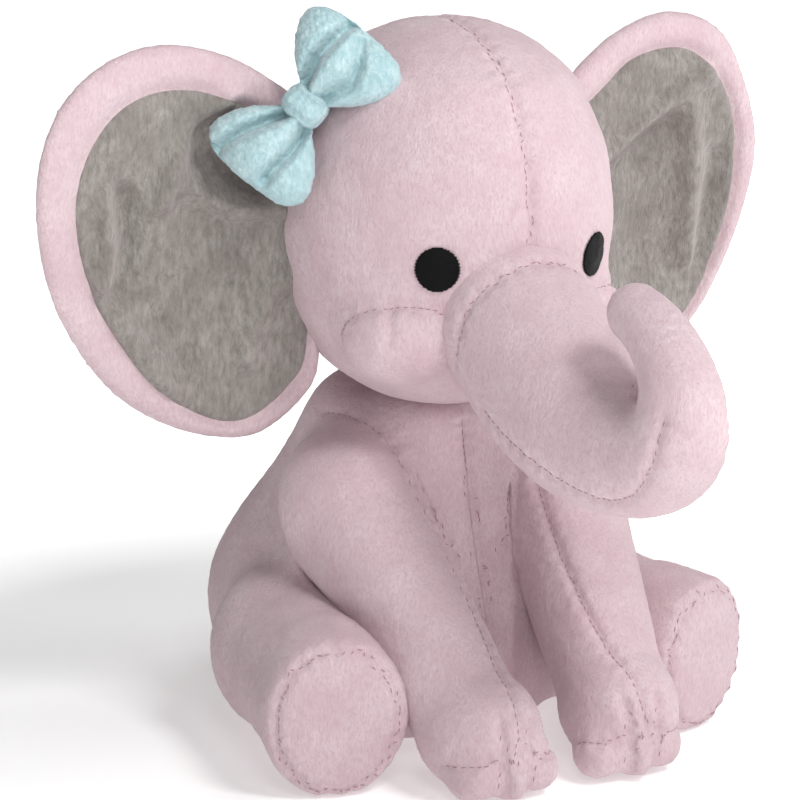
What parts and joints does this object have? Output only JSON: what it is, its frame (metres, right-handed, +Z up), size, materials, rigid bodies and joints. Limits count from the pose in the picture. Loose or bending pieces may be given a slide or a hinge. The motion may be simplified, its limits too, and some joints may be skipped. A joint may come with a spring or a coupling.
{
  "type": "stuffed elephant",
  "caption": "Sitting plush elephant with a curled-up trunk, wide lined ears, round feet and a small fabric bow; head, ears, trunk, legs, bow and tail flex at their seams.",
  "frame": {"origin": "middle of the flat seat, on the surface that the toy sits on", "axes": "+Z up, the elephant faces -Y, its own left is +X"},
  "size_m": [0.2808, 0.2727, 0.2528],
  "materials": {
    "plush_pink": "matte",
    "plush_grey": "matte",
    "plush_aqua": "matte",
    "eye_thread": "satin",
    "seam_thread": "matte",
    "tuft_yarn": "matte",
    "label_satin": "satin",
    "fibre_fill": "matte"
  },
  "bodies": {
    "torso": {"chest_panel_left": "plush_pink", "chest_panel_right": "plush_pink", "back_panel_left": "plush_pink", "back_panel_right": "plush_pink", "body_base_panel": "plush_pink", "body_stuffing": "fibre_fill"},
    "neck": {"neck_sleeve": "plush_pink", "neck_stuffing": "fibre_fill"},
    "head": {"brow_panel_left": "plush_pink", "brow_panel_right": "plush_pink", "cheek_panel_left": "plush_pink", "cheek_panel_right": "plush_pink", "head_back_panel_left": "plush_pink", "head_back_panel_right": "plush_pink", "head_stuffing": "fibre_fill", "eye_left": "eye_thread", "eye_right": "eye_thread"},
    "trunk": {"trunk_top_panel": "plush_pink", "trunk_under_panel": "plush_pink", "trunk_stuffing": "fibre_fill"},
    "trunk_tip": {"trunk_tip_outer_panel": "plush_pink", "trunk_tip_inner_panel": "plush_pink", "trunk_tip_stuffing": "fibre_fill"},
    "ear_left": {"ear_left_back_panel": "plush_pink", "ear_left_rim": "plush_pink", "ear_left_lining": "plush_grey", "ear_left_stuffing": "fibre_fill"},
    "ear_right": {"ear_right_back_panel": "plush_pink", "ear_right_rim": "plush_pink", "ear_right_lining": "plush_grey", "ear_right_stuffing": "fibre_fill"},
    "bow": {"bow_loop_upper": "plush_aqua", "bow_loop_lower": "plush_aqua", "bow_knot": "plush_aqua", "bow_tack_thread": "seam_thread"},
    "front_leg_left": {"front_leg_left_outer_panel": "plush_pink", "front_leg_left_inner_panel": "plush_pink", "front_leg_left_sole": "plush_pink", "front_leg_left_stuffing": "fibre_fill", "front_leg_left_toe_stitches": "seam_thread"},
    "hind_leg_left": {"hind_leg_left_upper_panel": "plush_pink", "hind_leg_left_under_panel": "plush_pink", "hind_leg_left_sole": "plush_pink", "hind_leg_left_stuffing": "fibre_fill"},
    "front_leg_right": {"front_leg_right_outer_panel": "plush_pink", "front_leg_right_inner_panel": "plush_pink", "front_leg_right_sole": "plush_pink", "front_leg_right_stuffing": "fibre_fill", "front_leg_right_toe_stitches": "seam_thread"},
    "hind_leg_right": {"hind_leg_right_upper_panel": "plush_pink", "hind_leg_right_under_panel": "plush_pink", "hind_leg_right_sole": "plush_pink", "hind_leg_right_stuffing": "fibre_fill"},
    "tail": {"tail_tube": "plush_pink", "tail_tuft": "tuft_yarn"},
    "label": {"care_label": "label_satin"}
  },
  "joints": [
    {"name": "neck_turn", "type": "hinge", "parent": "torso", "child": "neck", "pos_m": [0, -0.029, 0.112], "axis": [0, 0, 1], "range_deg": [-20, 20], "stiffness_Nm_per_rad": 1.2},
    {"name": "head_nod", "type": "hinge", "parent": "neck", "child": "head", "pos_m": [0, -0.029, 0.112], "axis": [-1, 0, 0], "range_deg": [-8, 10], "stiffness_Nm_per_rad": 2.5},
    {"name": "trunk_lift", "type": "hinge", "parent": "head", "child": "trunk", "pos_m": [0, -0.078, 0.151], "axis": [-1, 0, 0], "range_deg": [-10, 10], "stiffness_Nm_per_rad": 0.8},
    {"name": "trunk_curl", "type": "hinge", "parent": "trunk", "child": "trunk_tip", "pos_m": [0, -0.163, 0.121], "axis": [-1, 0, 0], "range_deg": [-12, 12], "stiffness_Nm_per_rad": 0.15},
    {"name": "ear_left_flap", "type": "hinge", "parent": "head", "child": "ear_left", "pos_m": [0.0575, -0.019, 0.175], "axis": [0, 0.1392, -0.9903], "range_deg": [-25, 30], "stiffness_Nm_per_rad": 0.12},
    {"name": "ear_right_flap", "type": "hinge", "parent": "head", "child": "ear_right", "pos_m": [-0.0575, -0.019, 0.175], "axis": [0, -0.1392, 0.9903], "range_deg": [-25, 8], "stiffness_Nm_per_rad": 0.12},
    {"name": "bow_swivel", "type": "hinge", "parent": "head", "child": "bow", "pos_m": [-0.0575, -0.043, 0.2205], "axis": [-0.5998, -0.7797, 0.1799], "range_deg": [-10, 10], "stiffness_Nm_per_rad": 0.02},
    {"name": "tail_swing", "type": "hinge", "parent": "torso", "child": "tail", "pos_m": [0, 0.0725, 0.038], "axis": [0, 1, 0], "range_deg": [-40, 40], "stiffness_Nm_per_rad": 0.003},
    {"name": "label_flap", "type": "hinge", "parent": "torso", "child": "label", "pos_m": [0.0337, 0.05837, 0.024], "axis": [0.866, -0.5, 0], "range_deg": [-10, 50], "stiffness_Nm_per_rad": 0.0005},
    {"name": "front_leg_left_lift", "type": "hinge", "parent": "torso", "child": "front_leg_left", "pos_m": [0.043, -0.038, 0.085], "axis": [-1, 0, 0], "range_deg": [0, 32], "stiffness_Nm_per_rad": 0.5},
    {"name": "hind_leg_left_splay", "type": "hinge", "parent": "torso", "child": "hind_leg_left", "pos_m": [0.05, -0.022, 0.032], "axis": [0, 0, 1], "range_deg": [0, 25], "stiffness_Nm_per_rad": 0.5},
    {"name": "front_leg_right_lift", "type": "hinge", "parent": "torso", "child": "front_leg_right", "pos_m": [-0.043, -0.038, 0.085], "axis": [-1, 0, 0], "range_deg": [0, 32], "stiffness_Nm_per_rad": 0.5},
    {"name": "hind_leg_right_splay", "type": "hinge", "parent": "torso", "child": "hind_leg_right", "pos_m": [-0.05, -0.022, 0.032], "axis": [0, 0, -1], "range_deg": [0, 25], "stiffness_Nm_per_rad": 0.5}
  ]
}
